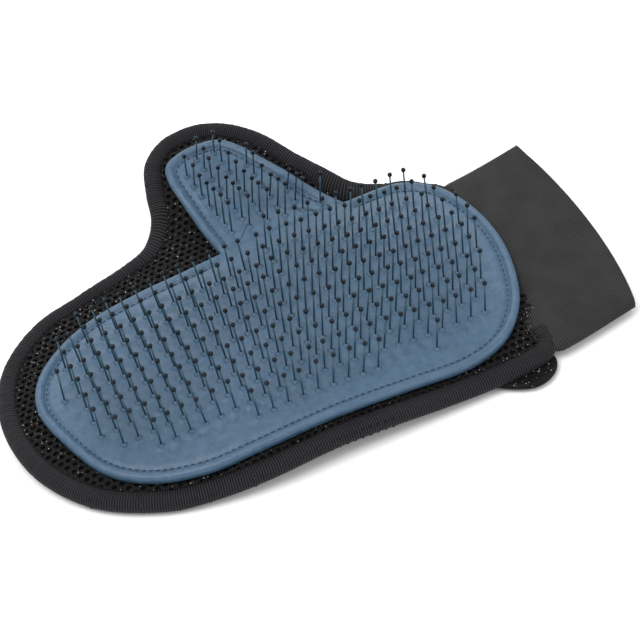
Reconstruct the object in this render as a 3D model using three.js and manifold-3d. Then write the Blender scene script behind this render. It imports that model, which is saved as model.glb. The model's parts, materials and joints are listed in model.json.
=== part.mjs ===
// A pet grooming glove: a mesh mitt with a thumb, two rubber pads full of ball-tipped wire pins
// on its palm side, a bound edge, and an elastic cuff at the wrist.
// Millimetres, +Z up. The glove lies on its back: +Z is the side the pins point to, +X runs from
// the fingertips to the cuff and +Y is the thumb's side.
// The glove is cut into rigid pieces at the lines where it bends: across the knuckles, along the
// root of the thumb and at the wrist.
import * as THREE from 'three';
import { mergeGeometries, mergeVertices } from 'three/addons/utils/BufferGeometryUtils.js';
import Module from 'manifold-3d';

const wasm = await Module();
wasm.setup();

// Driving dimensions.
const GAP = 0.3;                 // clearance between neighbouring pieces
const FABRIC = 2.4;              // spacer mesh
const PAD_THICKNESS = 3;
const PAD_LIFT = 0.8;            // clearance under a pad, whose facets differ from the panel's
const PAD_CROWN = 19;            // height of the palm pad's top, over the middle of the palm
const FINGER_DROP = 6.6;         // how much lower the pad is at the fingertips
const WRIST_DROP = 4.2;          // and at the wrist
const FINGER_DROP_LENGTH = 85;
const WRIST_DROP_LENGTH = 62;
const CROSS_CURVE = 0.0009;      // fall across the hand, per square millimetre
const CROWN_Y = 4;
const CROSS_REACH = 48;          // how far from the crown the fall goes on
const SEAM_BELOW_PALM = 0.9;     // seam below the palm panel's underside
const LOWEST_SEAM = 4.2;
const THUMB_SEAM = 9;
const BINDING_WIDTH = 8.5;
const BINDING_HALF_HEIGHT = 3.7;
const RIM_WIDTH = 6.2;           // plain edge of a pad, outside its pin field
const PIN_LENGTH = 18;
const PIN_RADIUS = 0.4;
const BALL_RADIUS = 0.75;
const PIN_PITCH_ALONG = 6.05;
const PIN_PITCH_ACROSS = 7.6;
const KNUCKLE_X = -36.3;
const KNUCKLE_GAP = 0.5;
const MOUTH_X = 90;              // where the mitt ends and the cuff starts
const CUFF_ROOT_START = 90.4;    // the cuff's sewn end, fixed to the mitt
const CUFF_ROOT_END = 96.5;
const CUFF_START = 98.1;         // its free end
const CUFF_END = 131.5;
const CUFF_WALL = 1.7;
const CUFF_HALF_HEIGHT = 5;
const CUFF_MIDDLE = 6;
const THUMB_TILT = 17;           // degrees that the thumb stands up from the palm
const THUMB_AXIS_Z = 18;
const THUMB_PAD_TOP = 17;
const THUMB_ROOT_START = new THREE.Vector2(-30, 74);
const THUMB_ROOT_END = new THREE.Vector2(78, 57);

// Colours and surfaces.
const RUBBER = { color: 0x506a80, roughness: 0.5, metalness: 0 };
const MESH = { color: 0x17171a, roughness: 0.9, metalness: 0 };
const TAPE = { color: 0x242329, roughness: 0.85, metalness: 0 };
const ELASTIC = { color: 0x363637, roughness: 0.9, metalness: 0 };
const THREAD = { color: 0x2a3947, roughness: 0.8, metalness: 0 };

// Outlines, anticlockwise. Each is a smooth closed curve through a few points. The mitt's runs on
// past the mouth and the root of the thumb, and the thumb's past its root, where they are cut.
const MITT_EDGE = [
  [-109.8, 9.5], [-105, -11.5], [-91.5, -30.8], [-69.5, -44.2], [-49, -49.7], [-29, -52],
  [0.6, -51.6], [45.6, -51.2], [88.6, -49.2], [128, -43], [150, 0], [128, 46], [91, 53.5],
  [80, 62.5], [62, 82], [20, 104], [-10, 102], [-25, 80], [-39.4, 73.5], [-59, 70], [-80, 64],
  [-98.6, 49], [-107.6, 30.5],
];
const PALM_PAD_EDGE = [
  [-95.5, 15.5], [-92, -3], [-84, -22.4], [-71.2, -34], [-50.3, -41.5], [-30, -43], [0.6, -43.2],
  [32, -43], [60, -42.2], [75, -36.6], [86.5, -24.4], [93.4, -6.5], [96, 13], [93.4, 33.5],
  [86.4, 49.3], [75, 57.4], [58, 58.6], [22, 55], [-20, 52], [-42, 52], [-62, 49.6], [-78.5, 42],
  [-91, 29.5],
];
const THUMB_EDGE = [
  [-34, 70], [-22.6, 80], [-18.3, 95], [-13.5, 109], [-3.8, 116.2], [5.7, 117.8], [14, 117],
  [24.5, 112.3], [35, 102.5], [45.5, 85.5], [58, 69.5], [76, 56], [52, 34], [12, 30], [-26, 42],
].reverse();
const THUMB_PAD_EDGE = [
  [-4.6, 56], [-6.8, 75], [-9, 94.5], [-7.2, 101], [-0.5, 104.3], [8, 105], [16.5, 103.5],
  [22.5, 98.5], [30.5, 86.5], [38.5, 74.3], [47, 62.8], [44, 59.6], [18, 58],
].reverse();

const smoothstep = (t) => {
  const c = Math.min(Math.max(t, 0), 1);
  return c * c * (3 - 2 * c);
};

// Height of the palm pad's top over any point of the palm.
function padTop(x, y) {
  const fall = x < 0
    ? FINGER_DROP * smoothstep(-x / FINGER_DROP_LENGTH)
    : WRIST_DROP * smoothstep(x / WRIST_DROP_LENGTH);
  const across = Math.min(Math.abs(y - CROWN_Y), CROSS_REACH);
  return PAD_CROWN - fall - CROSS_CURVE * across ** 2;
}

// Height of the bound seam around the mitt, where the palm and back panels meet.
function seamHeight(x, y) {
  const height = padTop(x, y) - PAD_THICKNESS - PAD_LIFT - FABRIC - SEAM_BELOW_PALM;
  return Math.max(height, LOWEST_SEAM);
}

const thumbPadTop = () => THUMB_PAD_TOP;
const thumbSeam = () => THUMB_SEAM;

// A smooth closed outline as evenly spaced 2-D points.
function outline(points, count) {
  const curve = new THREE.CatmullRomCurve3(
    points.map(([x, y]) => new THREE.Vector3(x, y, 0)), true, 'centripetal');
  return curve.getSpacedPoints(count).slice(0, count).map((p) => new THREE.Vector2(p.x, p.y));
}

function middleOf(edge) {
  const middle = new THREE.Vector2();
  edge.forEach((p) => middle.add(p));
  return middle.divideScalar(edge.length);
}

// The same outline moved inwards by a distance. Each point moves towards the middle, so that
// corners tighter than the distance don't fold over.
function inset(edge, distance) {
  const count = edge.length;
  const middle = middleOf(edge);
  return edge.map((point, i) => {
    const along = edge[(i + 1) % count].clone().sub(edge[(i + count - 1) % count]).normalize();
    const inwards = new THREE.Vector2(-along.y, along.x);
    const home = middle.clone().sub(point).normalize();
    return point.clone().addScaledVector(home, distance / Math.max(home.dot(inwards), 0.6));
  });
}

// Joins rings of equal length into a skin. The last ring either meets the first one again, or
// both ends are closed by a fan around their middle.
function loft(rings, endsMeet) {
  const count = rings[0].length;
  const positions = rings.flat().flatMap((p) => [p.x, p.y, p.z]);
  const triangles = [];
  const steps = endsMeet ? rings.length : rings.length - 1;
  for (let r = 0; r < steps; r += 1) {
    const next = (r + 1) % rings.length;
    for (let i = 0; i < count; i += 1) {
      const j = (i + 1) % count;
      const [a, b] = [r * count + i, r * count + j];
      const [c, d] = [next * count + i, next * count + j];
      triangles.push(a, b, d, a, d, c);
    }
  }
  if (!endsMeet) {
    for (const [ring, turn] of [[rings.length - 1, false], [0, true]]) {
      const middle = rings[ring].reduce((sum, p) => sum.add(p), new THREE.Vector3());
      middle.divideScalar(count);
      const hub = positions.length / 3;
      positions.push(middle.x, middle.y, middle.z);
      for (let i = 0; i < count; i += 1) {
        const [a, b] = [ring * count + i, ring * count + ((i + 1) % count)];
        triangles.push(...(turn ? [b, a, hub] : [a, b, hub]));
      }
    }
  }
  const geometry = new THREE.BufferGeometry();
  geometry.setAttribute('position', new THREE.Float32BufferAttribute(positions, 3));
  geometry.setIndex(triangles);
  return solid(geometry);
}

// A geometry as a solid that can be cut and joined, with its faces turned outwards.
function solid(geometry) {
  const bare = geometry.clone();
  bare.deleteAttribute('normal');
  bare.deleteAttribute('uv');
  const merged = mergeVertices(bare, 1e-5);
  const mesh = (triangles) => new wasm.Mesh({
    numProp: 3, vertProperties: merged.attributes.position.array, triVerts: triangles });
  const triangles = Uint32Array.from(merged.index.array);
  const first = new wasm.Manifold(mesh(triangles));
  return first.volume() > 0 ? first : new wasm.Manifold(mesh(triangles.reverse()));
}

function geometryOf(piece) {
  const mesh = piece.getMesh();
  const geometry = new THREE.BufferGeometry();
  const positions = Float32Array.from(mesh.vertProperties);
  geometry.setAttribute('position', new THREE.Float32BufferAttribute(positions, 3));
  geometry.setIndex(new THREE.Uint32BufferAttribute(Uint32Array.from(mesh.triVerts), 1));
  geometry.computeVertexNormals();
  return geometry;
}

// A tall block from one corner of the plan to the other, used to keep part of a piece.
function block(lowX, lowY, highX, highY) {
  const geometry = new THREE.BoxGeometry(highX - lowX, highY - lowY, 200);
  geometry.translate((lowX + highX) / 2, (lowY + highY) / 2, 0);
  return solid(geometry);
}

// Everything beyond the root line of the thumb (side 1) or before it (side -1).
function besideThumbRoot(side) {
  const along = THUMB_ROOT_END.clone().sub(THUMB_ROOT_START);
  const reach = 300;
  const geometry = new THREE.BoxGeometry(2 * reach, reach, 200);
  geometry.translate(0, side * (reach / 2 + GAP / 2), 0);
  geometry.rotateZ(along.angle());
  geometry.translate(THUMB_ROOT_START.x, THUMB_ROOT_START.y, 0);
  return solid(geometry);
}

const FAR = 300;
const fingerSide = block(-FAR, -FAR, KNUCKLE_X - KNUCKLE_GAP / 2, FAR);
const handSide = block(KNUCKLE_X + KNUCKLE_GAP / 2, -FAR, MOUTH_X, FAR);
const beforeRoot = besideThumbRoot(-1);
const beyondRoot = besideThumbRoot(1);

// A fabric panel inside the binding. bottom gives its lower face over a point, for a share of
// the way from the middle (0) to the edge (1).
function panel(edge, bottom) {
  const inner = inset(edge, BINDING_WIDTH + GAP);
  const middle = middleOf(inner);
  const ring = (share, extra) => inner.map((p) => {
    const q = middle.clone().lerp(p, share);
    return new THREE.Vector3(q.x, q.y, bottom(q.x, q.y, share) + extra);
  });
  const shares = [0.4, 0.72, 0.88, 1];
  const under = shares.map((share) => ring(share, 0));
  const over = shares.map((share) => ring(share, FABRIC)).reverse();
  return loft([...under, ...over], false);
}

const palmUnderside = (top, seam) => (x, y, share) => {
  const underPad = top(x, y) - PAD_THICKNESS - PAD_LIFT - FABRIC;
  const atSeam = seam(x, y) + GAP / 2;
  return THREE.MathUtils.lerp(underPad, atSeam, smoothstep((share - 0.86) / 0.14));
};

const backUnderside = (seam) => (x, y, share) => (
  (seam(x, y) - GAP / 2 - FABRIC) * smoothstep((share - 0.72) / 0.28));

// The binding tape: a rounded section carried round the edge.
function binding(edge, seam) {
  const section = [
    [0, -1.6], [0, 1.6], [1.6, 3.2], [4.5, BINDING_HALF_HEIGHT], [BINDING_WIDTH, 3],
    [BINDING_WIDTH, -3], [4.5, -BINDING_HALF_HEIGHT], [1.6, -3.2],
  ];
  return ringOf(edge, section, seam);
}

// Carries a section, given as distance in from the edge and height over a base, round an outline.
function ringOf(edge, section, base) {
  const rings = section.map(([distance, height]) => inset(edge, distance).map(
    (p) => new THREE.Vector3(p.x, p.y, base(p.x, p.y) + height)));
  return loft(rings, true);
}

// The plain edge of a pad, with its raised lip and the groove that its stitching lies in.
function padRim(edge, top) {
  const section = [
    [0.4, -PAD_THICKNESS], [0, -1.2], [0.4, 0.2], [1.6, 0.7], [3.1, 0.4], [4.1, -0.7], [5.3, -0.7],
    [5.9, 0], [RIM_WIDTH, 0], [RIM_WIDTH, -PAD_THICKNESS],
  ];
  return ringOf(edge, section, top);
}

function padStitching(edge, top) {
  const section = [[4.45, -0.15], [4.7, 0.1], [4.95, -0.15], [4.7, -0.4]];
  return ringOf(edge, section, top);
}

// The middle of a pad, which holds the pins.
function padField(edge, top) {
  const inner = inset(edge, RIM_WIDTH + GAP);
  const middle = middleOf(inner);
  const ring = (share, extra) => inner.map((p) => {
    const q = middle.clone().lerp(p, share);
    return new THREE.Vector3(q.x, q.y, top(q.x, q.y) + extra);
  });
  const shares = [0.35, 0.7, 1];
  const under = shares.map((share) => ring(share, -PAD_THICKNESS));
  const over = shares.map((share) => ring(share, 0)).reverse();
  return loft([...under, ...over], false);
}

// One wire pin with its ball tip, standing on a point of the field.
function pin(x, y, z) {
  const sides = 3;
  const root = 1.5;
  const profile = [
    [PIN_RADIUS, -root], [PIN_RADIUS, PIN_LENGTH - 2.5 * BALL_RADIUS], [BALL_RADIUS, PIN_LENGTH],
  ];
  const rings = profile.map(([radius, height]) => Array.from({ length: sides }, (_, i) => {
    const angle = (2 * Math.PI * i) / sides;
    return new THREE.Vector3(
      x + radius * Math.cos(angle), y + radius * Math.sin(angle), z + height);
  }));
  return geometryOf(loft(rings, false));
}

function inside(edge, x, y) {
  let odd = false;
  for (let i = 0, j = edge.length - 1; i < edge.length; j = i, i += 1) {
    const [a, b] = [edge[i], edge[j]];
    const crosses = (a.y > y) !== (b.y > y);
    if (crosses && x < ((b.x - a.x) * (y - a.y)) / (b.y - a.y) + a.x) odd = !odd;
  }
  return odd;
}

function joinPins(field, places, top) {
  const pins = places.map(([x, y]) => pin(x, y, top(x, y)));
  return field.add(solid(mergeGeometries(pins)));
}

// Places of the palm pins: a square-on grid, kept where it lies well inside the pad.
function palmPins(edge) {
  const limit = inset(edge, 10.5);
  const places = [];
  for (let column = -14; column <= 14; column += 1) {
    for (let row = -4; row <= 6; row += 1) {
      const [x, y] = [column * PIN_PITCH_ALONG, row * PIN_PITCH_ACROSS];
      if (inside(limit, x, y - 2.2)) places.push([x, y]);
    }
  }
  return places;
}

// Places of the thumb pins: rows across the thumb that follow its slanting edge.
function thumbPins(edge) {
  const limit = inset(edge, 7.2);
  const places = [];
  for (let row = 0; row < 9; row += 1) {
    for (let column = -1; column < 7; column += 1) {
      const x = 4 + column * PIN_PITCH_ACROSS - row * 0.9;
      const y = 61 + row * 5.3;
      if (inside(limit, x, y)) places.push([x, y]);
    }
  }
  return places;
}

// A stretch of the cuff: a flat tube of woven elastic that slants a little. bow is how far its
// open end's corners stand back.
function cuff(start, end, bow) {
  const count = 48;
  const section = (x, shrink, back) => Array.from({ length: count }, (_, i) => {
    const angle = (2 * Math.PI * i) / count;
    const share = (x - CUFF_ROOT_START) / (CUFF_END - CUFF_ROOT_START);
    const halfWidth = THREE.MathUtils.lerp(49.9, 48.2, share) - shrink;
    const middleY = THREE.MathUtils.lerp(1.5, 7.6, share);
    const flat = Math.sign(Math.sin(angle)) * Math.abs(Math.sin(angle)) ** 0.6;
    const y = middleY + halfWidth * Math.cos(angle);
    const z = CUFF_MIDDLE + (CUFF_HALF_HEIGHT - shrink) * flat;
    return new THREE.Vector3(x - back * Math.cos(angle) ** 2, y, z);
  });
  return loft([
    section(start, 0, 0), section(end, 0, bow),
    section(end, CUFF_WALL, bow), section(start, CUFF_WALL, 0),
  ], true);
}

// The corner of the back panel that shows beyond the binding beside the cuff.
function backCorner() {
  const shape = [[60, -52.4], [66, -54.8], [73.5, -56.4], [81, -55.4], [86, -52.2], [73, -52.1]];
  const plan = outline(shape, 24);
  const ring = (distance, z) => inset(plan, distance).map((p) => new THREE.Vector3(p.x, p.y, z));
  return loft([ring(0.8, 2.6), ring(0, 3.6), ring(0.8, 4.9)], false);
}

const mittEdge = outline(MITT_EDGE, 64);
const palmPadEdge = outline(PALM_PAD_EDGE, 60);
const thumbEdge = outline(THUMB_EDGE, 48);
const thumbPadEdge = outline(THUMB_PAD_EDGE, 40);

const glove = new THREE.Group();
const thumb = new THREE.Group();

function place(group, name, piece, surface) {
  const mesh = new THREE.Mesh(geometryOf(piece), new THREE.MeshStandardMaterial(surface));
  mesh.name = name;
  group.add(mesh);
}

// Mitt panels.
const palmPanel = panel(mittEdge, palmUnderside(padTop, seamHeight));
const backPanel = panel(mittEdge, backUnderside(seamHeight));
place(glove, 'finger_palm_mesh', palmPanel.intersect(fingerSide), MESH);
place(glove, 'finger_back_mesh', backPanel.intersect(fingerSide), MESH);
place(glove, 'palm_mesh', palmPanel.intersect(handSide).intersect(beforeRoot), MESH);
place(glove, 'back_mesh', backPanel.intersect(handSide).intersect(beforeRoot), MESH);
place(glove, 'back_mesh_corner', backCorner(), MESH);

// Binding of the mitt: round the fingers, along the little finger, in the crotch of the thumb
// and at the wrist corner.
const mittBinding = binding(mittEdge, seamHeight);
const handBinding = mittBinding.intersect(handSide).intersect(beforeRoot);
place(glove, 'finger_binding', mittBinding.intersect(fingerSide), TAPE);
place(glove, 'little_finger_binding', handBinding.intersect(block(-FAR, -FAR, FAR, 0)), TAPE);
place(glove, 'crotch_binding', handBinding.intersect(block(-FAR, 0, 0, FAR)), TAPE);
place(glove, 'wrist_corner_binding', handBinding.intersect(block(0, 0, FAR, FAR)), TAPE);

// Palm pad.
const palmRim = padRim(palmPadEdge, padTop);
const palmStitching = padStitching(palmPadEdge, padTop);
const palmField = padField(palmPadEdge, padTop);
const palmSide = block(KNUCKLE_X + KNUCKLE_GAP / 2, -FAR, FAR, FAR);
const pinPlaces = palmPins(palmPadEdge);
const clearOfKnuckles = ([x]) => Math.abs(x - KNUCKLE_X) > PIN_PITCH_ALONG / 2;
const fingerPlaces = pinPlaces.filter((p) => clearOfKnuckles(p) && p[0] < KNUCKLE_X);
const palmPlaces = pinPlaces.filter((p) => clearOfKnuckles(p) && p[0] > KNUCKLE_X);
place(glove, 'finger_pad_rim', palmRim.intersect(fingerSide), RUBBER);
place(glove, 'finger_pad_stitching', palmStitching.intersect(fingerSide), THREAD);
place(glove, 'finger_pin_field',
  joinPins(palmField.intersect(fingerSide), fingerPlaces, padTop), RUBBER);
place(glove, 'palm_pad_rim', palmRim.intersect(palmSide), RUBBER);
place(glove, 'palm_pad_stitching', palmStitching.intersect(palmSide), THREAD);
place(glove, 'palm_pin_field', joinPins(palmField.intersect(palmSide), palmPlaces, padTop), RUBBER);

// Thumb, drawn flat beside the palm and then tilted up about its root.
const thumbPalm = panel(thumbEdge, palmUnderside(thumbPadTop, thumbSeam));
const thumbBack = panel(thumbEdge, backUnderside(thumbSeam));
const thumbRim = padRim(thumbPadEdge, thumbPadTop);
const thumbField = padField(thumbPadEdge, thumbPadTop);
const rootNormal = THUMB_ROOT_END.clone().sub(THUMB_ROOT_START).normalize();
const beyond = ([x, y]) => rootNormal.x * (y - THUMB_ROOT_START.y) - rootNormal.y * (x - THUMB_ROOT_START.x);
const thumbPlaces = thumbPins(thumbPadEdge);
place(thumb, 'thumb_palm_mesh', thumbPalm.intersect(beyondRoot), MESH);
place(thumb, 'thumb_back_mesh', thumbBack.intersect(beyondRoot), MESH);
place(thumb, 'thumb_binding', binding(thumbEdge, thumbSeam).intersect(beyondRoot), TAPE);
place(thumb, 'thumb_pad_rim', thumbRim.intersect(beyondRoot), RUBBER);
place(thumb, 'thumb_pad_stitching',
  padStitching(thumbPadEdge, thumbPadTop).intersect(beyondRoot), THREAD);
place(thumb, 'thumb_pin_field',
  joinPins(thumbField.intersect(beyondRoot), thumbPlaces.filter((p) => beyond(p) > 5), thumbPadTop),
  RUBBER);
place(glove, 'thumb_root_pad_rim', thumbRim.intersect(beforeRoot), RUBBER);
place(glove, 'thumb_root_pad_field', thumbField.intersect(beforeRoot), RUBBER);

const axisPoint = new THREE.Vector3(THUMB_ROOT_START.x, THUMB_ROOT_START.y, THUMB_AXIS_Z);
const axis = new THREE.Vector3(rootNormal.x, rootNormal.y, 0);
thumb.quaternion.setFromAxisAngle(axis, THREE.MathUtils.degToRad(THUMB_TILT));
thumb.position.copy(axisPoint).sub(axisPoint.clone().applyQuaternion(thumb.quaternion));
glove.add(thumb);

place(glove, 'cuff_root', cuff(CUFF_ROOT_START, CUFF_ROOT_END, 0), ELASTIC);
place(glove, 'elastic_cuff', cuff(CUFF_START, CUFF_END, 4), ELASTIC);

// The origin is under the middle of the whole glove, on the face that it lies on.
glove.updateMatrixWorld(true);
const box = new THREE.Box3().setFromObject(glove, true);
const centre = box.getCenter(new THREE.Vector3());
glove.position.set(-centre.x, -centre.y, -box.min.z);

export default glove;
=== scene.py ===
"""Looks of the pet grooming glove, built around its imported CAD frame.

The glove is drawn laid out flat, in millimetres, in the CAD model's own plan: x from the
fingertips to the cuff, y towards the thumb, z up out of the palm. place() then bends the thumb up
about its root and moves everything into the row frame, in metres.
"""
import json
import math

import bmesh
import bpy
import numpy as np
from mathutils import Matrix, Vector


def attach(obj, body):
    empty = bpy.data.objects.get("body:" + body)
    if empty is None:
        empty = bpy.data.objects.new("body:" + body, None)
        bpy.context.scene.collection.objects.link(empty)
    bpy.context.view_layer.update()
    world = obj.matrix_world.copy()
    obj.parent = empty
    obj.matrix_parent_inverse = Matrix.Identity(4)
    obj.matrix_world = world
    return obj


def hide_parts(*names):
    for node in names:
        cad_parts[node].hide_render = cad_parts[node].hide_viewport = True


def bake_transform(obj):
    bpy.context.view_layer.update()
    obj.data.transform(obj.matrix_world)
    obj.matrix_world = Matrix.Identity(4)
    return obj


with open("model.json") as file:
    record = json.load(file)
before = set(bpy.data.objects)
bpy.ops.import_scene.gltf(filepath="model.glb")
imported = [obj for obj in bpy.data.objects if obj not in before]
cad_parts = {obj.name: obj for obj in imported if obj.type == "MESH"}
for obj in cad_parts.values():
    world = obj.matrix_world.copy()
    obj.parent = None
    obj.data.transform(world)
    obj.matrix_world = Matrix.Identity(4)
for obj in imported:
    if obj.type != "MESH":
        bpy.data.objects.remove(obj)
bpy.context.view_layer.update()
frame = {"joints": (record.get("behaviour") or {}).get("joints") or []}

MM = 0.001
THUMB_ROOT = np.array([-30.0, 74.0, 18.0])
JOINTS = {joint["name"]: joint for joint in frame["joints"]}
ORIGIN = np.array(JOINTS["thumb_flex"]["pos_m"]) / MM - THUMB_ROOT
ROOT_ALONG = np.array(JOINTS["thumb_flex"]["axis"], float)
ROOT_ALONG /= np.linalg.norm(ROOT_ALONG)
ROOT_OUT = np.array([-ROOT_ALONG[1], ROOT_ALONG[0], 0.0])

# Sizes shared with the CAD model, in millimetres.
PAD_CROWN = 19
FINGER_DROP, FINGER_DROP_LENGTH = 6.6, 85
WRIST_DROP, WRIST_DROP_LENGTH = 4.2, 62
CROSS_CURVE, CROWN_Y, CROSS_REACH = 0.0009, 4, 48
PAD_THICKNESS = 3.5
SEAM_DROP = 7.1
LOWEST_SEAM = 4.2
THUMB_SEAM = 9
THUMB_PAD_TOP = 17
THUMB_TILT = math.radians(17)
TILT_STARTS, TILT_ENDS = -3, 16
MOUTH_X = 90
BINDING_WIDTH = 8.5
BINDING_HALF_HEIGHT = 3.7
PIN_LENGTH = 18
PIN_PITCH_ALONG, PIN_PITCH_ACROSS = 6.05, 7.6
CUFF_END = 131.5

GLOVE_EDGE = [
    (96, 48), (90, 54.3), (80, 60.8), (70, 63.6), (58, 69.5), (45.5, 85.5), (35, 102.5),
    (24.5, 112.3), (14, 117), (5.7, 117.8), (-3.8, 116.2), (-13.5, 109), (-18.5, 96),
    (-21.5, 84.5), (-28.5, 77), (-39.4, 73.5), (-59, 70), (-80, 64), (-98.6, 49),
    (-107.6, 30.5), (-109.8, 9.5), (-105, -11.5), (-91.5, -30.8), (-69.5, -44.2), (-49, -49.7),
    (-29, -52), (0.6, -51.6), (45.6, -51.2), (78, -50.2), (87.5, -48), (92.5, -42), (92.8, -35),
]
PALM_PAD_EDGE = [
    (-95.5, 15.5), (-92, -3), (-84, -22.4), (-71.2, -34), (-50.3, -41.5), (-30, -43),
    (0.6, -43.2), (32, -43), (60, -42.2), (75, -36.6), (86.5, -24.4), (93.4, -6.5), (96, 13),
    (93.4, 33.5), (86.4, 49.3), (75, 57.4), (58, 58.6), (22, 55), (-20, 52), (-42, 52),
    (-62, 49.6), (-78.5, 42), (-91, 29.5),
]
THUMB_PAD_EDGE = [
    (18, 45), (44, 46), (54, 51), (50, 60), (38.5, 74.3), (30.5, 86.5), (22.5, 98.5),
    (16.5, 103.5), (8, 105), (-0.5, 104.3), (-7.2, 101), (-9, 94.5), (-6.8, 75), (-4.6, 55), (-2, 47),
]
BACK_CORNER = [
    (60, -46), (65, -50.5), (70, -53.8), (76, -56.2), (82, -55.6), (87, -52.4), (89.5, -47.5),
    (87, -42), (70, -42), (58, -43),
]

randoms = np.random.default_rng(7)


# ---------------------------------------------------------------- shapes in the flat layout

def smoothstep(t):
    t = np.clip(t, 0, 1)
    return t * t * (3 - 2 * t)


def mix(a, b, t):
    return a + (b - a) * t


def curve_through(points, closed):
    """A fine centripetal Catmull-Rom curve through a few points."""
    p = np.array(points, float)
    if not closed:
        p = np.vstack([2 * p[0] - p[1], p, 2 * p[-1] - p[-2]])
    spans = range(len(p)) if closed else range(1, len(p) - 2)
    share = np.linspace(0, 1, 16, endpoint=False)[:, None]
    pieces = []
    for i in spans:
        a, b, c, d = (p[(i + k) % len(p)] for k in (-1, 0, 1, 2))
        t = np.cumsum([0, *(np.linalg.norm(q) ** 0.5 for q in (b - a, c - b, d - c))])
        s = mix(t[1], t[2], share)
        ab = ((t[1] - s) * a + (s - t[0]) * b) / (t[1] - t[0])
        bc = ((t[2] - s) * b + (s - t[1]) * c) / (t[2] - t[1])
        cd = ((t[3] - s) * c + (s - t[2]) * d) / (t[3] - t[2])
        left = ((t[2] - s) * ab + (s - t[0]) * bc) / (t[2] - t[0])
        right = ((t[3] - s) * bc + (s - t[1]) * cd) / (t[3] - t[1])
        pieces.append(((t[2] - s) * left + (s - t[1]) * right) / (t[2] - t[1]))
    fine = np.vstack(pieces)
    return np.vstack([fine, fine[:1] if closed else p[-2:-1]])


def resample(line, count, closed=False):
    """Evenly spaced points along a line of points."""
    steps = np.linalg.norm(np.diff(line, axis=0), axis=1)
    along = np.concatenate([[0], np.cumsum(steps)])
    wanted = np.linspace(0, along[-1], count, endpoint=not closed)
    return np.column_stack([np.interp(wanted, along, line[:, k]) for k in range(line.shape[1])])


def length_of(line):
    return float(np.linalg.norm(np.diff(line, axis=0), axis=1).sum())


def inward(line, closed):
    """Unit directions into the outline, at each of its points (the outline is anticlockwise)."""
    if closed:
        step = np.roll(line, -1, axis=0) - np.roll(line, 1, axis=0)
    else:
        step = np.gradient(line, axis=0)
    step /= np.linalg.norm(step, axis=1)[:, None]
    return np.column_stack([-step[:, 1], step[:, 0]])


def inside(points, outline):
    """Which points lie inside a closed outline."""
    x, y = points[:, 0], points[:, 1]
    result = np.zeros(len(points), bool)
    for a, b in zip(outline, np.roll(outline, -1, axis=0)):
        if a[1] == b[1]:
            continue
        crosses = (a[1] > y) != (b[1] > y)
        result ^= crosses & (x < (b[0] - a[0]) * (y - a[1]) / (b[1] - a[1]) + a[0])
    return result


def distance_to(points, line):
    """Distance from each point to a line of closely spaced points."""
    best = np.full(len(points), 1e9)
    for start in range(0, len(line), 32):
        gap = points[:, None, :2] - line[None, start:start + 32, :2]
        best = np.minimum(best, (gap ** 2).sum(2).min(1))
    return np.sqrt(best)


def beyond_root(points):
    """How far each point lies beyond the root line of the thumb."""
    return (points[..., :2] - THUMB_ROOT[:2]) @ ROOT_OUT[:2]


def palm_height(x, y):
    """Top of the palm pad, over any point of the palm."""
    to_tip = FINGER_DROP * smoothstep(-x / FINGER_DROP_LENGTH)
    to_wrist = WRIST_DROP * smoothstep(x / WRIST_DROP_LENGTH)
    across = np.minimum(np.abs(y - CROWN_Y), CROSS_REACH)
    return PAD_CROWN - np.where(x < 0, to_tip, to_wrist) - CROSS_CURVE * across ** 2


def pad_height(x, y):
    """Top of the pads: the palm's, and the thumb's beyond its root."""
    on_thumb = smoothstep(beyond_root(np.stack([x, y], -1)) / 15)
    return mix(palm_height(x, y), THUMB_PAD_TOP, on_thumb)


def seam_height(x, y):
    """Middle of the binding."""
    on_thumb = smoothstep(beyond_root(np.stack([x, y], -1)) / 15)
    return mix(np.maximum(palm_height(x, y) - SEAM_DROP, LOWEST_SEAM), THUMB_SEAM, on_thumb)


def place(points):
    """Bends the thumb up about its root and gives row-frame metres."""
    p = np.asarray(points, float)
    rel = p - THUMB_ROOT
    along, out, up = rel @ ROOT_ALONG, rel @ ROOT_OUT, rel[..., 2]
    angle = THUMB_TILT * smoothstep((out - TILT_STARTS) / (TILT_ENDS - TILT_STARTS))
    bent_out = out * np.cos(angle) - up * np.sin(angle)
    bent_up = out * np.sin(angle) + up * np.cos(angle)
    bent = along[..., None] * ROOT_ALONG + bent_out[..., None] * ROOT_OUT
    bent = bent + bent_up[..., None] * np.array([0, 0, 1.0])
    return (bent + THUMB_ROOT + ORIGIN) * MM


# ---------------------------------------------------------------- meshes

def new_piece(name, points, faces, material, smooth=True, measures=None):
    """A mesh piece from points in the flat layout. measures are per-point numbers for its
    material, such as the distance along a tape."""
    mesh = bpy.data.meshes.new(name)
    mesh.from_pydata(place(points).tolist(), [], [tuple(int(i) for i in f) for f in faces])
    for key, values in (measures or {}).items():
        layer = mesh.attributes.new(key, "FLOAT", "POINT")
        layer.data.foreach_set("value", np.asarray(values, np.float32).ravel())
    mesh.shade_smooth() if smooth else mesh.shade_flat()
    mesh.materials.append(material)
    mesh.update()
    piece = bpy.data.objects.new(name, mesh)
    bpy.context.scene.collection.objects.link(piece)
    return piece


def clean(piece, tolerance=1e-6):
    """Welds points that coincide and turns all faces outwards."""
    work = bmesh.new()
    work.from_mesh(piece.data)
    bmesh.ops.remove_doubles(work, verts=work.verts, dist=tolerance)
    bmesh.ops.recalc_face_normals(work, faces=work.faces)
    work.to_mesh(piece.data)
    work.free()
    piece.data.update()
    return piece


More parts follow.
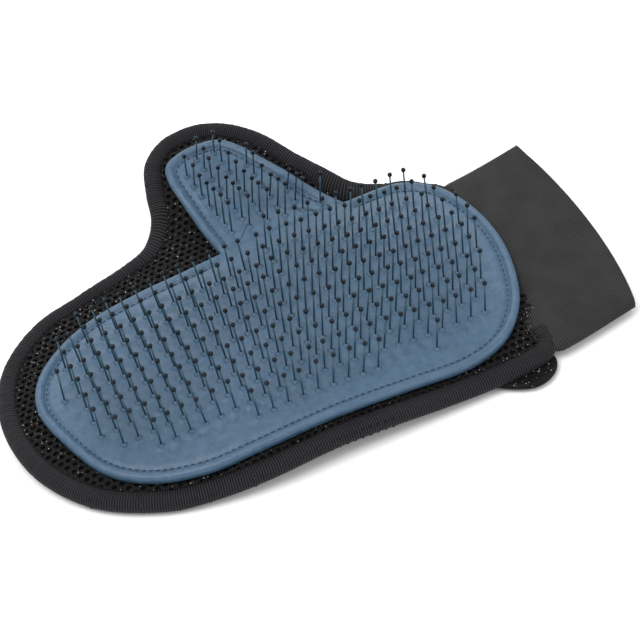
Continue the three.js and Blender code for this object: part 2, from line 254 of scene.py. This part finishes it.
def grid_faces(rows, columns, rows_meet=False, columns_meet=False):
    """Quads between points laid out row by row."""
    r = np.arange(rows if rows_meet else rows - 1)[:, None]
    c = np.arange(columns if columns_meet else columns - 1)[None, :]
    r2, c2 = (r + 1) % rows, (c + 1) % columns
    corners = [r * columns + c, r * columns + c2, r2 * columns + c2, r2 * columns + c]
    return np.stack([np.broadcast_to(k, (r.size, c.size)) for k in corners], -1).reshape(-1, 4)


def copies(shape_points, shape_faces, frames):
    """Many copies of a small shape. Each frame is (place, 3 x 3 matrix of its axes)."""
    points, faces = [], []
    for i, (where, axes) in enumerate(frames):
        points.append(shape_points @ axes.T + where)
        faces.extend([[k + i * len(shape_points) for k in f] for f in shape_faces])
    return np.vstack(points), faces


def lathe(profile, sides):
    """A closed turned shape: profile is (radius, height), from a point to a point on the axis."""
    (_, bottom), (_, top) = profile[0], profile[-1]
    rings = profile[1:-1]
    angles = np.arange(sides) * 2 * math.pi / sides
    points = [(r * math.cos(a), r * math.sin(a), z) for r, z in rings for a in angles]
    faces = grid_faces(len(rings), sides, columns_meet=True).tolist()
    low, high = len(points), len(points) + 1
    points += [(0, 0, bottom), (0, 0, top)]
    last = (len(rings) - 1) * sides
    for i in range(sides):
        j = (i + 1) % sides
        faces.append([low, j, i])
        faces.append([high, last + i, last + j])
    return np.array(points, float), faces


def axes_with_up(up):
    up = up / np.linalg.norm(up)
    side = np.cross(up, [0.0, 1.0, 0.0])
    side /= np.linalg.norm(side)
    return np.column_stack([side, np.cross(up, side), up])


# ---------------------------------------------------------------- materials

class Paint:
    """A material and short ways to add its nodes."""

    def __init__(self, name):
        self.material = bpy.data.materials.new(name)
        self.material.use_nodes = True
        self.nodes = self.material.node_tree.nodes
        self.links = self.material.node_tree.links
        self.shader = self.nodes["Principled BSDF"]
        self.place = self.nodes.new("ShaderNodeTexCoord").outputs["Object"]

    def set(self, **sockets):
        for name, value in sockets.items():
            self.shader.inputs[name.replace("_", " ")].default_value = value
        return self

    def link(self, source, target):
        self.links.new(source, target)
        return source

    def noise(self, size_mm, detail=3, roughness=0.5):
        node = self.nodes.new("ShaderNodeTexNoise")
        node.inputs["Scale"].default_value = 1 / (size_mm * MM)
        node.inputs["Detail"].default_value = detail
        node.inputs["Roughness"].default_value = roughness
        self.link(self.place, node.inputs["Vector"])
        return node.outputs["Fac"]

    def measure(self, name):
        node = self.nodes.new("ShaderNodeAttribute")
        node.attribute_name = name
        return node.outputs["Fac"]

    def math(self, operation, a, b=0.0, c=0.0):
        node = self.nodes.new("ShaderNodeMath")
        node.operation = operation
        for socket, value in zip(node.inputs, (a, b, c)):
            if isinstance(value, (int, float)):
                socket.default_value = value
            else:
                self.link(value, socket)
        return node.outputs[0]

    def ramp(self, value, *stops):
        """Colours by value: each stop is (position, (r, g, b))."""
        node = self.nodes.new("ShaderNodeValToRGB")
        while len(node.color_ramp.elements) < len(stops):
            node.color_ramp.elements.new(0.5)
        for element, (position, colour) in zip(node.color_ramp.elements, stops):
            element.position = position
            element.color = (*colour, 1)
        self.link(value, node.inputs["Fac"])
        return node.outputs["Color"]

    def range(self, value, low, high, to_low, to_high):
        node = self.nodes.new("ShaderNodeMapRange")
        for name, number in zip(("From Min", "From Max", "To Min", "To Max"),
                                (low, high, to_low, to_high)):
            node.inputs[name].default_value = number
        self.link(value, node.inputs["Value"])
        return node.outputs["Result"]

    def bump(self, height, distance_mm, strength=1.0):
        node = self.nodes.new("ShaderNodeBump")
        node.inputs["Distance"].default_value = distance_mm * MM
        node.inputs["Strength"].default_value = strength
        self.link(height, node.inputs["Height"])
        self.link(node.outputs["Normal"], self.shader.inputs["Normal"])

    def colour(self, output):
        self.link(output, self.shader.inputs["Base Color"])

    def roughness(self, output):
        self.link(output, self.shader.inputs["Roughness"])


def ribs(paint, measure, pitch_mm):
    """Waves from 0 to 1 along a stored distance."""
    turn = paint.math("MULTIPLY", paint.measure(measure), 2 * math.pi / pitch_mm)
    return paint.math("MULTIPLY_ADD", paint.math("SINE", turn), 0.5, 0.5)


def rubber_material():
    paint = Paint("blue_grey_rubber").set(IOR=1.5)
    broad = paint.noise(28, 2)
    mottle = paint.noise(3.2, 3, 0.6)
    fine = paint.noise(0.35, 2)
    tone = paint.math(
        "ADD", paint.math("MULTIPLY", broad, 0.45), paint.math("MULTIPLY", mottle, 0.55))
    paint.colour(paint.ramp(tone, (0.38, (0.029, 0.070, 0.120)), (0.62, (0.047, 0.098, 0.162))))
    paint.roughness(paint.range(mottle, 0.3, 0.7, 0.40, 0.52))
    paint.bump(paint.math("ADD", mottle, paint.math("MULTIPLY", fine, 0.1)), 0.8, 0.6)
    return paint.material


def wire_material():
    paint = Paint("teal_coated_wire").set(Metallic=0.55)
    tone = paint.noise(4, 2)
    paint.colour(paint.ramp(tone, (0.3, (0.035, 0.085, 0.115)), (0.7, (0.055, 0.12, 0.155))))
    paint.roughness(paint.range(tone, 0.3, 0.7, 0.3, 0.42))
    return paint.material


def ball_material():
    paint = Paint("dark_ball_tips").set(Specular_IOR_Level=0.2)
    tone = paint.noise(1.5, 2)
    paint.colour(paint.ramp(tone, (0.3, (0.003, 0.006, 0.010)), (0.7, (0.007, 0.012, 0.018))))
    paint.roughness(paint.range(tone, 0.3, 0.7, 0.32, 0.46))
    return paint.material


def net_material():
    paint = Paint("black_spacer_mesh").set(Specular_IOR_Level=0.12)
    threads = paint.noise(0.35, 3, 0.7)
    broad = paint.noise(9, 2)
    glint = paint.ramp(paint.noise(0.7, 1, 0.3), (0.73, (0, 0, 0)), (0.78, (1, 1, 1)))
    tone = paint.math("ADD", paint.math("MULTIPLY", threads, 0.7), paint.math("MULTIPLY", broad, 0.3))
    base = paint.ramp(tone, (0.35, (0.0015, 0.0015, 0.0016)), (0.75, (0.009, 0.0087, 0.0083)))
    mixed = paint.nodes.new("ShaderNodeMix")
    mixed.data_type = "RGBA"
    mixed.inputs[7].default_value = (0.6, 0.58, 0.54, 1)
    paint.link(glint, mixed.inputs[0])
    paint.link(base, mixed.inputs[6])
    paint.colour(mixed.outputs[2])
    paint.roughness(paint.range(glint, 0, 1, 0.62, 0.25))
    paint.bump(threads, 0.12, 0.8)
    return paint.material


def lining_material():
    paint = Paint("dark_inner_knit").set(Specular_IOR_Level=0.15)
    knit = paint.noise(0.5, 3, 0.7)
    paint.colour(paint.ramp(knit, (0.3, (0.0012, 0.0012, 0.0013)), (0.7, (0.004, 0.004, 0.004))))
    paint.roughness(paint.range(knit, 0.3, 0.7, 0.8, 0.95))
    paint.bump(knit, 0.1, 0.6)
    return paint.material


def tape_material():
    paint = Paint("ribbed_binding_tape").set(Specular_IOR_Level=0.15, Sheen_Weight=0.02, Sheen_Roughness=0.5)
    rib = ribs(paint, "along_mm", 1.0)
    fuzz = paint.noise(0.3, 3, 0.7)
    broad = paint.noise(14, 2)
    # Painted shade and highlight: the rib waves darken the colour between the tape's ribs and lighten it on
    # their crests; the fuzz and broad noise add random tone.
    tone = paint.math("ADD", paint.math("MULTIPLY", rib, 0.6), paint.math("MULTIPLY", fuzz, 0.2))
    tone = paint.math("ADD", tone, paint.math("MULTIPLY", broad, 0.2))
    paint.colour(paint.ramp(tone, (0.25, (0.002, 0.002, 0.003)), (0.8, (0.026, 0.025, 0.030))))
    paint.roughness(paint.range(fuzz, 0.3, 0.7, 0.7, 0.88))
    paint.bump(paint.math("ADD", rib, paint.math("MULTIPLY", fuzz, 0.4)), 0.25, 1.0)
    return paint.material


def elastic_material():
    paint = Paint("ribbed_woven_elastic").set(Specular_IOR_Level=0.15, Sheen_Weight=0.03, Sheen_Roughness=0.5)
    weave = ribs(paint, "around_mm", 0.55)
    hoop_shade = ribs(paint, "along_mm", 0.92)
    fuzz = paint.noise(0.3, 3, 0.7)
    broad = paint.noise(11, 2)
    # Painted shade and highlight: the hoop ribs, and faintly the weave, darken the colour in their troughs
    # and lighten it on their crests; the fuzz and broad noise add random tone.
    tone = paint.math("ADD", paint.math("MULTIPLY", hoop_shade, 0.42), paint.math("MULTIPLY", weave, 0.1))
    tone = paint.math("ADD", tone, paint.math("MULTIPLY", fuzz, 0.22))
    tone = paint.math("ADD", tone, paint.math("MULTIPLY", broad, 0.26))
    paint.colour(paint.ramp(tone, (0.25, (0.007, 0.007, 0.0072)), (0.75, (0.044, 0.0435, 0.044))))
    paint.roughness(paint.range(fuzz, 0.3, 0.7, 0.72, 0.9))
    paint.bump(paint.math("ADD", paint.math("MULTIPLY", weave, 0.5), fuzz), 0.08, 0.8)
    return paint.material


def thread_material(name, low, high):
    paint = Paint(name).set(Specular_IOR_Level=0.15)
    tone = paint.noise(0.5, 2)
    paint.colour(paint.ramp(tone, (0.3, low), (0.7, high)))
    paint.roughness(paint.range(tone, 0.3, 0.7, 0.6, 0.8))
    paint.bump(tone, 0.08, 0.7)
    return paint.material


def floor_material():
    paint = Paint("pale_floor")
    tone = paint.noise(60, 2)
    paint.colour(paint.ramp(tone, (0.3, (0.90, 0.90, 0.90)), (0.7, (0.93, 0.93, 0.93))))
    paint.roughness(paint.range(tone, 0.3, 0.7, 0.7, 0.8))
    return paint.material


RUBBER = rubber_material()
WIRE = wire_material()
BALL = ball_material()
NET = net_material()
LINING = lining_material()
TAPE = tape_material()
ELASTIC = elastic_material()
PAD_THREAD = thread_material("pad_thread", (0.012, 0.030, 0.052), (0.022, 0.046, 0.074))
TAPE_THREAD = thread_material("tape_thread", (0.003, 0.003, 0.004), (0.009, 0.009, 0.011))


# ---------------------------------------------------------------- outlines used by the pieces

glove_line = curve_through(GLOVE_EDGE, closed=False)
glove_line = resample(glove_line, 900)
palm_pad_line = resample(curve_through(PALM_PAD_EDGE, closed=True), 520, closed=True)
thumb_pad_line = resample(curve_through(THUMB_PAD_EDGE, closed=True), 260, closed=True)


# ---------------------------------------------------------------- rubber pads

# Distance in from a pad's edge, and height over its plain margin.
PAD_PROFILE = [
    (0.9, -PAD_THICKNESS), (0.35, -2.9), (0.1, -1.9), (0.0, -0.9), (0.15, -0.2), (0.55, 0.35),
    (1.15, 0.68), (1.8, 0.74), (2.5, 0.6), (3.1, 0.3), (3.5, -0.05), (3.85, -0.42), (4.2, -0.58),
    (4.7, -0.58), (5.1, -0.42), (5.5, -0.12), (6.0, 0.0),
]


GROOVE_FLOOR = -0.6


def lip_share(line, other):
    """How much of the lip and groove each edge point keeps: none where the pads run together."""
    gap = np.where(inside(line, other), -1, 1) * distance_to(line, other)
    return smoothstep((gap + 1) / 5)


def tuck(points, depth_mm):
    """How far the thumb pad drops to pass under the palm pad."""
    gap = distance_to(points, palm_pad_line)
    covered = inside(points, palm_pad_line)
    return np.where(covered, 0.35 + depth_mm * smoothstep(gap / 3), 0.35 * smoothstep(1 - gap / 1.2))


def dimples(points, line):
    """Shallow hollows midway between the pins of the palm."""
    wave_x = 0.5 - 0.5 * np.cos(2 * math.pi * points[:, 0] / PIN_PITCH_ALONG)
    wave_y = 0.5 - 0.5 * np.cos(2 * math.pi * points[:, 1] / PIN_PITCH_ACROSS)
    field = smoothstep((distance_to(points, line) - 8) / 4) * inside(points, line)
    return 0.75 * wave_x * wave_y * field


def rubber_pad(name, line, lip, drop_mm):
    """A moulded pad: rounded wall, raised lip, stitching groove and a gently dished middle."""
    into = inward(line, closed=True)
    rings = [line + into * distance for distance, _ in PAD_PROFILE]
    heights = [
        np.full(len(line), height) if height < GROOVE_FLOOR else height * lip
        for _, height in PAD_PROFILE]
    middle = rings[-1].mean(0)
    shares = np.linspace(0, 1, 60)[1:-1]
    last = rings[-1]
    rings += [mix(last, middle, share) for share in shares]
    heights += [0.0] * len(shares)
    points = []
    for ring, height in zip(rings, heights):
        z = pad_height(ring[:, 0], ring[:, 1]) + height
        if drop_mm > 0:
            z = z - tuck(ring, drop_mm)
        else:
            z = z - dimples(ring, line)
        points.append(np.column_stack([ring, z]))
    count = len(line)
    faces = grid_faces(len(rings), count, columns_meet=True).tolist()
    points = np.vstack(points)
    top_hub = len(points)
    hub = np.array([[*middle, float(pad_height(middle[0], middle[1]))]])
    under = np.array([[*middle, float(pad_height(middle[0], middle[1])) - PAD_THICKNESS]])
    points = np.vstack([points, hub, under])
    inner = (len(rings) - 1) * count
    for i in range(count):
        j = (i + 1) % count
        faces.append([inner + i, inner + j, top_hub])
        faces.append([j, i, top_hub + 1])
    return clean(new_piece(name, points, faces, RUBBER))


def pin_frames(places):
    """Where each pin stands, and its axes, square to the pad with a slight lean of its own."""
    frames = []
    step = 0.5
    for x, y in places:
        z = float(pad_height(x, y))
        slope_x = float(pad_height(x + step, y) - pad_height(x - step, y)) / (2 * step)
        slope_y = float(pad_height(x, y + step) - pad_height(x, y - step)) / (2 * step)
        lean = randoms.normal(0, 0.018, 2)
        up = np.array([-slope_x + lean[0], -slope_y + lean[1], 1.0])
        frames.append((np.array([x, y, z]), axes_with_up(up)))
    return frames


def nub_shape():
    return lathe([(0, -0.4), (1.7, -0.3), (1.4, 0.12), (0.95, 0.45), (0.62, 0.8), (0, 0.86)], 12)


def wire_shape():
    radius = 0.36
    return lathe([(0, -0.5), (radius, -0.4), (radius, PIN_LENGTH - 1.6), (0, PIN_LENGTH - 1.5)], 8)


def ball_shape():
    radius, half = 0.95, 1.05
    angles = np.linspace(-math.pi / 2, math.pi / 2, 9)
    profile = [(radius * math.cos(a), PIN_LENGTH - half + half * math.sin(a)) for a in angles]
    profile[0], profile[-1] = (0, profile[0][1]), (0, profile[-1][1])
    return lathe(profile, 12)


def palm_pin_places():
    """A square-on grid, kept where it lies well inside the pad."""
    limit = palm_pad_line + inward(palm_pad_line, closed=True) * 10.5
    grid = [(c * PIN_PITCH_ALONG, r * PIN_PITCH_ACROSS) for c in range(-14, 15) for r in range(-4, 7)]
    grid = np.array(grid)
    return grid[inside(grid - [0, 2.2], limit)]


def thumb_pin_places():
    """Rows across the thumb that follow its slanting edge."""
    limit = thumb_pad_line + inward(thumb_pad_line, closed=True) * 5.6
    grid = [(4 + c * PIN_PITCH_ACROSS - r * 0.9, 61 + r * 5.3) for r in range(9) for c in range(-1, 7)]
    grid = np.array(grid)
    return grid[inside(grid, limit) & ~inside(grid, palm_pad_line)]


def pins(name, places):
    frames = pin_frames(places)
    parts = []
    for kind, shape, material, slot in (
            ("nubs", nub_shape(), RUBBER, "rubber"), ("wires", wire_shape(), WIRE, "pin_wire"),
            ("ball_tips", ball_shape(), BALL, "ball_tip")):
        points, faces = copies(*shape, frames)
        piece = new_piece(f"{name}_{kind}", points, faces, material)
        parts.append(piece)
    return parts


def stitches(name, line, closed, pitch, length, radius, height_of, material, skip=None):
    """A row of stitches: short rounded threads that dip into the cloth at both ends."""
    total = length_of(line)
    count = int(total / pitch)
    track = resample(line, count * 8, closed)
    shape_points, shape_faces = lathe(
        [(0, -0.5), (0.55, -0.42), (0.9, -0.25), (1, 0), (0.9, 0.25), (0.55, 0.42), (0, 0.5)], 7)
    shape_points = shape_points * [radius, radius, length]
    frames = []
    for i in range(count):
        here, ahead = track[i * 8 + 3], track[(i * 8 + 5) % len(track)]
        along = np.array([*(ahead - here), 0.0])
        along[2] = float(height_of(ahead[0], ahead[1]) - height_of(here[0], here[1]))
        where = (here + ahead) / 2
        if skip is not None and inside(where[None], skip)[0]:
            continue
        along /= np.linalg.norm(along)
        side = np.cross([0.0, 0.0, 1.0], along)
        side /= np.linalg.norm(side)
        axes = np.column_stack([side, np.cross(along, side), along])
        frames.append((np.array([*where, float(height_of(where[0], where[1]))]), axes))
    points, faces = copies(shape_points, shape_faces, frames)
    return new_piece(name, points, faces, material)


def groove_height(x, y):
    return pad_height(x, y) - 0.5


palm_lip = lip_share(palm_pad_line, thumb_pad_line)
thumb_lip = lip_share(thumb_pad_line, palm_pad_line)
palm_pad = rubber_pad("palm_pad", palm_pad_line, palm_lip, 0)
thumb_pad = rubber_pad("thumb_pad", thumb_pad_line, thumb_lip, 2.2)
palm_pins = pins("palm", palm_pin_places())
thumb_pins = pins("thumb", thumb_pin_places())
GROOVE_IN = 4.45
palm_stitching = stitches(
    "palm_pad_stitching_thread", palm_pad_line + inward(palm_pad_line, closed=True) * GROOVE_IN, True,
    2.6, 1.9, 0.2, groove_height, PAD_THREAD, skip=thumb_pad_line)
thumb_stitching = stitches(
    "thumb_pad_stitching_thread", thumb_pad_line + inward(thumb_pad_line, closed=True) * GROOVE_IN,
    True, 2.6, 1.9, 0.2, groove_height, PAD_THREAD, skip=palm_pad_line)


# ---------------------------------------------------------------- spacer mesh panels

NET_PITCH = 3.1
NET_DEPTH = 1.3
CELL_POINTS = 12


def cell_centres():
    """Centres of the net's hexagonal cells over the whole glove, under the binding too."""
    rise = NET_PITCH * math.sqrt(3) / 2
    rows = np.arange(-60, 121, rise)
    columns = np.arange(-110, 100, NET_PITCH)
    centres = np.array([
        (x + (NET_PITCH / 2 if i % 2 else 0), y) for i, y in enumerate(rows) for x in columns])
    within = inside(centres, glove_line) & (centres[:, 0] < MOUTH_X + 1)
    centres = centres[within]
    return centres[distance_to(centres, glove_line) > 2.2]


def cell_ring(stretch_x, stretch_y):
    angles = np.arange(CELL_POINTS) * 2 * math.pi / CELL_POINTS + math.pi / 2
    return np.column_stack([stretch_x * np.cos(angles), stretch_y * np.sin(angles)])


def hexagon_ring():
    """The hexagon's corners and the middles of its sides."""
    corner = NET_PITCH / math.sqrt(3)
    angles = np.arange(CELL_POINTS) * 2 * math.pi / CELL_POINTS + math.pi / 2
    radius = np.where(np.arange(CELL_POINTS) % 2 == 0, corner, NET_PITCH / 2)
    return np.column_stack([radius * np.cos(angles), radius * np.sin(angles)])


def net(name, centres, height_of, facing):
    """Knitted face of the spacer mesh: a sheet of cells, each with an oval hole. facing is 1 for
    a face that looks up and -1 for one that looks down."""
    rings = [
        (hexagon_ring(), 0.0), (cell_ring(1.22, 1.10), 0.10), (cell_ring(1.05, 0.92), -0.05),
        (cell_ring(0.92, 0.78), -0.45), (cell_ring(0.95, 0.80), -NET_DEPTH),
    ]
    jitter = randoms.normal(0, 0.035, (len(centres), 1, 2))
    points = []
    for ring, depth in rings:
        plan = centres[:, None, :] + ring[None]
        if depth != 0.0:
            plan = plan + jitter
        plan = plan.reshape(-1, 2)
        z = height_of(plan) + facing * depth
        points.append(np.column_stack([plan, z]).reshape(len(centres), CELL_POINTS, 3))
    points = np.stack(points, 1)
    faces = grid_faces(len(rings), CELL_POINTS, columns_meet=True)
    per_cell = len(rings) * CELL_POINTS
    faces = (faces[None] + np.arange(len(centres))[:, None, None] * per_cell).reshape(-1, 4)
    if facing < 0:
        faces = faces[:, ::-1]
    return clean(new_piece(name, points.reshape(-1, 3), faces, NET), 2e-5)


def lining(name, centres, top_of, bottom_of):
    """The close-knit reverse of the spacer mesh: a thin closed sheet."""
    ring = hexagon_ring()[::2]
    plan = (centres[:, None, :] + ring[None]).reshape(-1, 2)
    cells = np.arange(len(plan)).reshape(-1, 6)
    _, first, same = np.unique(np.round(plan, 3), axis=0, return_index=True, return_inverse=True)
    plan, cells = plan[first], same.reshape(-1)[cells]
    top = np.column_stack([plan, top_of(plan)])
    bottom = np.column_stack([plan, bottom_of(plan)])
    sides = np.stack([cells, np.roll(cells, -1, axis=1)], -1).reshape(-1, 2)
    present = {tuple(side) for side in sides.tolist()}
    edge = [side for side in present if side[::-1] not in present]
    count = len(plan)
    walls = [[a, a + count, b + count, b] for a, b in edge]
    faces = cells.tolist() + (cells[:, ::-1] + count).tolist() + walls
    piece = new_piece(name, np.vstack([top, bottom]), faces, LINING)
    return piece


def palm_net_height(plan):
    """Upper face of the palm panel, which drops from under the pads to the binding."""
    x, y = plan[:, 0], plan[:, 1]
    inner = pad_height(x, y) - PAD_THICKNESS + 0.1
    at_edge = seam_height(x, y) + 2.3
    return mix(at_edge, inner, smoothstep((distance_to(plan, glove_line) - 6.5) / 8))


def back_net_height(plan):
    """Outer face of the back panel: flat, and turned up towards the binding."""
    x, y = plan[:, 0], plan[:, 1]
    at_edge = seam_height(x, y) - 2.3
    return mix(at_edge, np.full(len(plan), 0.2), smoothstep((distance_to(plan, glove_line) - 5) / 15))


def palm_lining_top(plan):
    return palm_net_height(plan) - NET_DEPTH


def palm_lining_bottom(plan):
    return palm_net_height(plan) - 2.3


def back_lining_top(plan):
    return back_net_height(plan) + 2.3


def back_lining_bottom(plan):
    return back_net_height(plan) + NET_DEPTH


centres = cell_centres()
on_thumb = beyond_root(centres) > -1
under_pads = inside(centres, palm_pad_line) & (distance_to(centres, palm_pad_line) > 3)
under_pads |= inside(centres, thumb_pad_line) & (distance_to(centres, thumb_pad_line) > 3)
palm_net = net("palm_mesh_face", centres[~on_thumb & ~under_pads], palm_net_height, 1)
thumb_palm_net = net("thumb_palm_mesh_face", centres[on_thumb & ~under_pads], palm_net_height, 1)
back_net = net("back_mesh_face", centres[~on_thumb], back_net_height, -1)
thumb_back_net = net("thumb_back_mesh_face", centres[on_thumb], back_net_height, -1)
palm_lining = lining(
    "palm_mesh_reverse", centres[~on_thumb], palm_lining_top, palm_lining_bottom)
thumb_palm_lining = lining(
    "thumb_palm_mesh_reverse", centres[on_thumb], palm_lining_top, palm_lining_bottom)
back_lining = lining(
    "back_mesh_reverse", centres[~on_thumb], back_lining_top, back_lining_bottom)
thumb_back_lining = lining(
    "thumb_back_mesh_reverse", centres[on_thumb], back_lining_top, back_lining_bottom)


# ---------------------------------------------------------------- binding

def tape_section():
    """Distance in from the edge and height, round the folded tape."""
    turns = np.arange(20) * 2 * math.pi / 20
    u = BINDING_WIDTH / 2 * (1 - np.cos(turns))
    v = BINDING_HALF_HEIGHT * np.sin(turns) * (1 - 0.22 * (u / BINDING_WIDTH) ** 2)
    return np.column_stack([u, v])


TAPE_STEP = 0.7


def tape(name, line):
    """Binding tape carried along a stretch of the glove's edge, with slight puckers."""
    count = int(length_of(line) / TAPE_STEP)
    line = resample(line, count)
    into = inward(line, closed=False)
    section = tape_section()
    along = np.arange(count) * TAPE_STEP
    pucker = 0.10 * np.sin(along * 2 * math.pi / 3.1) + 0.08 * np.sin(along * 2 * math.pi / 7.7)
    rows = []
    for u, v in section:
        plan = line + into * u
        z = seam_height(line[:, 0], line[:, 1]) + v * (1 + 0.05 * pucker) + 0.6 * pucker * (v > 0)
        rows.append(np.column_stack([plan, z]))
    points = np.stack(rows, 1).reshape(-1, 3)
    faces = grid_faces(count, len(section), columns_meet=True).tolist()
    faces.append(list(range(len(section)))[::-1])
    faces.append([(count - 1) * len(section) + i for i in range(len(section))])
    measures = {"along_mm": np.repeat(along, len(section))}
    return new_piece(name, points, faces, TAPE, measures=measures)


def tape_top(x, y):
    return seam_height(x, y) + 2.9


split = int(np.argmin(np.hypot(*(glove_line - np.array([-33.0, 74.0])).T)))
thumb_line, mitt_line = glove_line[:split + 1], glove_line[split:]
mitt_tape = tape("mitt_binding", mitt_line)
thumb_tape = tape("thumb_binding_tape", thumb_line)
STITCH_IN = 6.9
mitt_tape_stitching = stitches(
    "mitt_binding_thread", mitt_line + inward(mitt_line, closed=False) * STITCH_IN, False,
    2.8, 2.0, 0.24, tape_top, TAPE_THREAD)
thumb_tape_stitching = stitches(
    "thumb_binding_thread", thumb_line + inward(thumb_line, closed=False) * STITCH_IN, False,
    2.8, 2.0, 0.24, tape_top, TAPE_THREAD)


def back_corner():
    """The corner of the back panel that shows beyond the binding beside the cuff: a pillowy
    scrap of mesh with a folded edge."""
    line = resample(curve_through(BACK_CORNER, closed=True), 120, closed=True)
    into = inward(line, closed=True)
    profile = [(1.1, 1.6), (0.4, 1.9), (0.0, 2.6), (0.1, 3.4), (0.7, 4.0), (1.6, 4.1), (2.4, 3.8),
               (3.0, 3.7)]
    rings = [np.column_stack([line + into * d, np.full(len(line), z)]) for d, z in profile]
    middle = np.array([*line.mean(0), 3.7])
    under = np.array([*line.mean(0), 1.6])
    count = len(line)
    faces = grid_faces(len(rings), count, columns_meet=True).tolist()
    top, hub = (len(rings) - 1) * count, len(rings) * count
    for i in range(count):
        j = (i + 1) % count
        faces.append([top + i, top + j, hub])
        faces.append([j, i, hub + 1])
    points = np.vstack(rings + [middle[None], under[None]])
    return clean(new_piece("back_corner_lobe", points, faces, NET))


corner_lobe = back_corner()


# ---------------------------------------------------------------- cuff

RIB_PITCH = 0.92
CUFF_GIRTH = 215


def cuff():
    """The elastic cuff: a flat tube with hoops round the wrist and a bowed open end."""
    start, around = 85.0, 240
    wall = 1.5
    steps = int((CUFF_END - start) / (RIB_PITCH / 5))
    shares = np.linspace(0, 1, steps)
    angles = np.arange(around) * 2 * math.pi / around
    cosine, sine = np.cos(angles), np.sin(angles)
    bulge = np.sign(sine) * np.abs(sine) ** 0.6
    rows, measure_along = [], []

    def ring(share, shrink, ripple):
        x = mix(start, CUFF_END, share)
        half_width = mix(49.9, 48.2, share) - shrink - 3 * smoothstep((94 - x) / 8)
        half_height = 5.0 - shrink - 1.5 * smoothstep((96 - x) / 9) + ripple
        middle_y = mix(1.5, 7.6, share)
        bow = 4 * cosine ** 2 * smoothstep((share - 0.3) / 0.7)
        sag = 0.35 * np.sin(3 * angles + 1.0) * smoothstep(share * 2)
        return np.column_stack([
            x - bow, middle_y + (half_width + ripple) * cosine, 6.0 + half_height * bulge + sag])

    for share in shares:
        distance = share * (CUFF_END - start)
        ripple = 0.17 * math.sin(2 * math.pi * distance / RIB_PITCH)
        rows.append(ring(share, 0, ripple))
        measure_along.append(distance)
    for share in shares[::-1]:
        rows.append(ring(share, wall, 0))
        measure_along.append(share * (CUFF_END - start))
    points = np.vstack(rows)
    faces = grid_faces(len(rows), around, rows_meet=True, columns_meet=True)
    measures = {
        "along_mm": np.repeat(np.array(measure_along), around),
        "around_mm": np.tile(np.arange(around) * CUFF_GIRTH / around, len(rows)),
    }
    return clean(new_piece("woven_cuff", points, faces, ELASTIC, measures=measures))


woven_cuff = cuff()


# ---------------------------------------------------------------- bodies


def with_fingers(piece):
    """Bakes the piece's transform into its mesh."""
    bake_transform(piece)


def with_thumb(piece):
    """Bakes the piece's transform into its mesh."""
    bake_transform(piece)


for piece in (palm_pad, *palm_pins, palm_stitching, palm_net, back_net, palm_lining, back_lining,
              mitt_tape, mitt_tape_stitching):
    with_fingers(piece)
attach(corner_lobe, "hand")
for piece in (thumb_pad, *thumb_pins, thumb_stitching, thumb_palm_net, thumb_back_net,
              thumb_palm_lining, thumb_back_lining, thumb_tape, thumb_tape_stitching):
    with_thumb(piece)
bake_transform(woven_cuff)

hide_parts("finger_pad_rim", "palm_pad_rim", "finger_pin_field", "palm_pin_field")
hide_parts("thumb_pad_rim", "thumb_pin_field", "thumb_root_pad_rim", "thumb_root_pad_field")
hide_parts("finger_pad_stitching", "palm_pad_stitching")
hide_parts("thumb_pad_stitching")
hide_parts("finger_palm_mesh", "palm_mesh")
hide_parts("thumb_palm_mesh")
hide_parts("finger_back_mesh", "back_mesh")
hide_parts("back_mesh_corner")
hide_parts("thumb_back_mesh")
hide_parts("finger_binding", "little_finger_binding")
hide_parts("thumb_binding", "crotch_binding", "wrist_corner_binding")
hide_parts("cuff_root", "elastic_cuff")


# ---------------------------------------------------------------- stage, light and camera

def stage():
    mesh = bpy.data.meshes.new("floor")
    size = 6.0
    mesh.from_pydata(
        [(-size, -size, 0), (size, -size, 0), (size, size, 0), (-size, size, 0)], [], [(0, 1, 2, 3)])
    mesh.materials.append(floor_material())
    floor = bpy.data.objects.new("floor", mesh)
    bpy.context.scene.collection.objects.link(floor)


def area_light(name, where, size, power, colour=(1, 1, 1)):
    data = bpy.data.lights.new(name, "AREA")
    data.shape = "DISK"
    data.size = size
    data.energy = power
    data.color = colour
    light = bpy.data.objects.new(name, data)
    light.location = where
    light.rotation_euler = (-Vector(where)).to_track_quat("-Z", "Y").to_euler()
    bpy.context.scene.collection.objects.link(light)


def lights():
    world = bpy.data.worlds.new("studio")
    world.use_nodes = True
    world.node_tree.nodes["Background"].inputs["Color"].default_value = (1, 1, 1, 1)
    world.node_tree.nodes["Background"].inputs["Strength"].default_value = 0.75
    bpy.context.scene.world = world
    area_light("key", (-0.5, -0.2, 1.3), 0.9, 14)
    area_light("fill", (0.9, -0.9, 0.9), 1.2, 6)
    area_light("back", (0.2, 1.2, 0.8), 1.0, 7)


def camera():
    azimuth, elevation, roll = math.radians(-19.04), math.radians(47.61), math.radians(-7.47)
    distance, lens, sensor = 896.3, 133.5, 36
    target = np.array([14.52, 0, PAD_CROWN])
    back = np.array([math.sin(azimuth) * math.cos(elevation),
                     -math.cos(azimuth) * math.cos(elevation), math.sin(elevation)])
    level = np.array([math.cos(azimuth), math.sin(azimuth), 0])
    above = np.cross(back, level)
    right = math.cos(roll) * level + math.sin(roll) * above
    up = -math.sin(roll) * level + math.cos(roll) * above
    data = bpy.data.cameras.new("camera")
    data.lens, data.sensor_width = lens, sensor
    data.clip_end = 20
    view = bpy.data.objects.new("camera", data)
    where = (target + ORIGIN + back * distance) * MM
    view.location = where
    view.rotation_euler = Matrix(np.column_stack([right, up, back]).tolist()).to_euler()
    bpy.context.scene.collection.objects.link(view)
    bpy.context.scene.camera = view


stage()
lights()
camera()
bpy.context.scene.view_settings.view_transform = "Standard"
